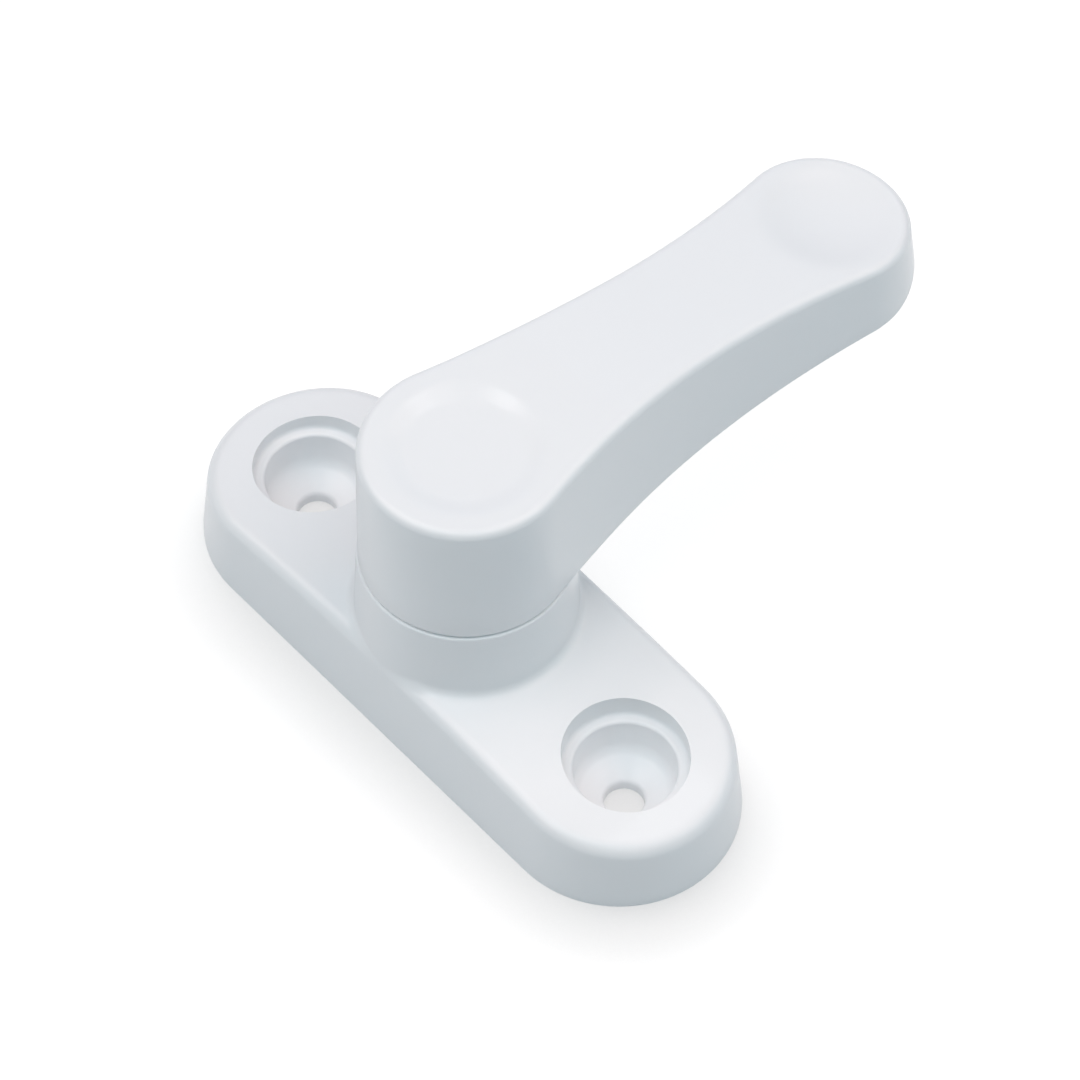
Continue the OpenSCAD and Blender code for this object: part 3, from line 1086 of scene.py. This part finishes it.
@dataclass
class PivotStack:
    """The washers and the screw inside the pivot, whose solids are shown as they are."""

    nylon: Nylon = field(default_factory=Nylon)
    spring: PlatedSteel = field(
        default_factory=lambda: PlatedSteel("spring_steel", (0.42, 0.43, 0.45), 0.32))
    plated: PlatedSteel = field(default_factory=lambda: PlatedSteel("bright_plate"))

    def dress(self) -> list[bpy.types.Object]:
        """Gives each carried-over solid its finish.

        Returns:
            The solids.
        """
        wear = {"slip_washer": self.nylon, "wave_washer": self.spring,
                "retaining_washer": self.plated, "retaining_screw": self.plated}
        made: dict[str, bpy.types.Material] = {}
        pieces = []
        for name, finish in wear.items():
            if finish.name not in made:
                made[finish.name] = finish.material()
            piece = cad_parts[name]
            piece.data.materials.clear()
            piece.data.materials.append(made[finish.name])
            pieces.append(piece)
        return pieces


@dataclass(frozen=True)
class Lamp:
    """One square softbox: bearing and height in degrees, power in watts and size in metres."""

    name: str
    bearing: float
    height: float
    power: float
    colour: tuple[float, float, float] = (1.0, 1.0, 1.0)
    size: float = 0.7


@dataclass
class Studio:
    """The pale floor, the lamps and the camera. Sizes are in metres."""

    floor_half: float = 3.0
    floor_matt: tuple[float, float, float] = (0.62, 0.64, 0.66)
    floor_pale: tuple[float, float, float] = (0.25, 0.25, 0.25)
    floor_glow: float = 0.85
    # Lean, reach, weight and samples of the painted shadow: ambient occlusion that darkens the floor's glow
    # by the lock.
    painted_shadow_lean: tuple[float, float, float] = (-0.65, 0.45, 0.4)
    painted_shadow_reach: float = 0.008
    painted_shadow_share: float = 0.6
    painted_shadow_samples: int = 16
    eye: tuple[float, float, float] = (0.180836, -0.15537, 0.353878)
    ahead: tuple[float, float, float] = (-0.42891, 0.38833, -0.81562)
    right: tuple[float, float, float] = (0.6656, 0.74629, 0.0053)
    focal_px: float = 4905.7
    frame_px: float = 1080.0
    sensor_mm: float = 36.0
    nearest: float = 0.01
    sky: tuple[float, float, float] = (0.92, 0.97, 1.0)
    sky_strength: float = 0.05
    centre: tuple[float, float, float] = (0.0, 0.012, 0.01)
    distance: float = 0.75
    lamps: tuple[Lamp, ...] = (
        Lamp("front_left_high", 240, 60, 3.2, (1.0, 0.87, 0.85)),
        Lamp("back_right_high", 60, 60, 2.1, (1.0, 0.77, 0.7)),
        Lamp("right_high", 0, 60, 1.35, (1.0, 0.93, 0.95)),
        Lamp("front_high", 300, 60, 0.82, (0.09, 0.83, 1.0)),
        Lamp("back_right_low", 45, 25, 0.92, (0.39, 0.85, 1.0)),
        Lamp("back_low", 135, 25, 0.77, (0.46, 0.74, 1.0)),
        Lamp("left_low", 225, 25, 0.69, (0.69, 0.92, 1.0)),
        Lamp("left_window", 176, 70, 0.1, size=0.11),
        Lamp("back_window", 104, 70, 0.1, size=0.11),
    )

    def floor(self) -> bpy.types.Object:
        """Lays the floor, white to the camera with a painted soft shadow by the lock, and plain to other
        rays.

        Returns:
            The floor.
        """
        bm = bmesh.new()
        bmesh.ops.create_grid(bm, x_segments=1, y_segments=1, size=self.floor_half)
        piece = to_object(bm, "floor")
        shader = Shader("floor_white")
        rays = shader.node("ShaderNodeLightPath")
        seen = shader.out(rays, "Is Camera Ray") + shader.out(rays, "Is Glossy Ray")
        seen = seen + shader.out(rays, "Is Transmission Ray")
        matt = shader.node("ShaderNodeBsdfDiffuse", Color=(*self.floor_matt, 1.0))
        # Painted shadow: ambient occlusion along a leaning normal darkens the floor's glow by the lock, so
        # a soft contact shadow falls towards the camera.
        x, y, z = self.painted_shadow_lean
        lean = shader.node("ShaderNodeCombineXYZ", X=x, Y=y, Z=z)
        painted_shadow_ao = shader.node("ShaderNodeAmbientOcclusion", {"samples": self.painted_shadow_samples},
                           Distance=self.painted_shadow_reach, Normal=lean.outputs[0])
        painted_shade = 1 - (1 - shader.out(painted_shadow_ao, "AO")) * self.painted_shadow_share
        pale = shader.node("ShaderNodeBsdfDiffuse", Color=(*self.floor_pale, 1.0))
        glow = shader.node("ShaderNodeEmission", Color=painted_shade * self.floor_glow, Strength=1.0)
        both = shader.combined("ShaderNodeAddShader", pale.outputs[0], glow.outputs[0])
        mix = shader.combined("ShaderNodeMixShader", seen, matt.outputs[0], both)
        shader.put(shader.output.inputs["Surface"], mix)
        shader.tree.nodes.remove(shader.surface)
        piece.data.materials.append(shader.material)
        return piece

    def hang(self, lamp: Lamp) -> bpy.types.Object:
        """Hangs a square softbox that faces the lock.

        Args:
            lamp: Its place, power, colour and size.

        Returns:
            The light.
        """
        light = bpy.data.lights.new(lamp.name, "AREA")
        light.shape = "SQUARE"
        light.size = lamp.size
        light.energy = lamp.power
        light.color = lamp.colour
        turn, lift = math.radians(lamp.bearing), math.radians(lamp.height)
        way = Vector((math.cos(turn) * math.cos(lift), math.sin(turn) * math.cos(lift), math.sin(lift)))
        made = bpy.data.objects.new(lamp.name, light)
        made.location = Vector(self.centre) + way * self.distance
        made.rotation_euler = (-way).to_track_quat("-Z", "Y").to_euler()
        bpy.context.scene.collection.objects.link(made)
        return made

    def world(self) -> None:
        """Sets the even light of the room, and white behind everything."""
        world = bpy.data.worlds.new("room")
        bpy.context.scene.world = world
        world.use_nodes = True
        room = Nodes(world.node_tree)
        back = room.tree.nodes["Background"]
        room.put(back.inputs["Color"], (*self.sky, 1.0))
        room.put(back.inputs["Strength"], self.sky_strength)
        white = room.node("ShaderNodeBackground")
        rays = room.node("ShaderNodeLightPath")
        mix = room.combined("ShaderNodeMixShader", rays.outputs["Is Camera Ray"], back.outputs[0],
                            white.outputs[0])
        room.put(room.tree.nodes["World Output"].inputs["Surface"], mix)

    def camera(self) -> bpy.types.Object:
        """Sets the camera where the photograph was taken from.

        Returns:
            The camera.
        """
        data = bpy.data.cameras.new("view")
        data.sensor_fit = "HORIZONTAL"
        data.sensor_width = self.sensor_mm
        data.lens = self.focal_px / self.frame_px * self.sensor_mm
        data.clip_start = self.nearest
        made = bpy.data.objects.new("view", data)
        ahead = Vector(self.ahead).normalized()
        right = Vector(self.right)
        right = (right - ahead * right.dot(ahead)).normalized()
        up = right.cross(ahead)
        made.matrix_world = Matrix.Translation(self.eye) @ Matrix((right, up, -ahead)).transposed().to_4x4()
        bpy.context.scene.collection.objects.link(made)
        bpy.context.scene.camera = made
        return made

    def build(self) -> None:
        """Sets the floor, the lamps, the room's light and the camera."""
        self.floor()
        self.world()
        for lamp in self.lamps:
            self.hang(lamp)
        self.camera()
        bpy.context.scene.view_settings.view_transform = "Standard"


def main() -> None:
    """Builds the castings, dresses the pivot's pieces and sets the studio."""
    logging.basicConfig(level=logging.INFO, format="%(message)s")
    pieces = [BasePlate().build(), Lever().build()] + PivotStack().dress()
    for piece in pieces:
        LOG.info("%s: %d faces", piece.name, len(piece.data.polygons))
    Studio().build()


if __name__ == "__main__":
    main()
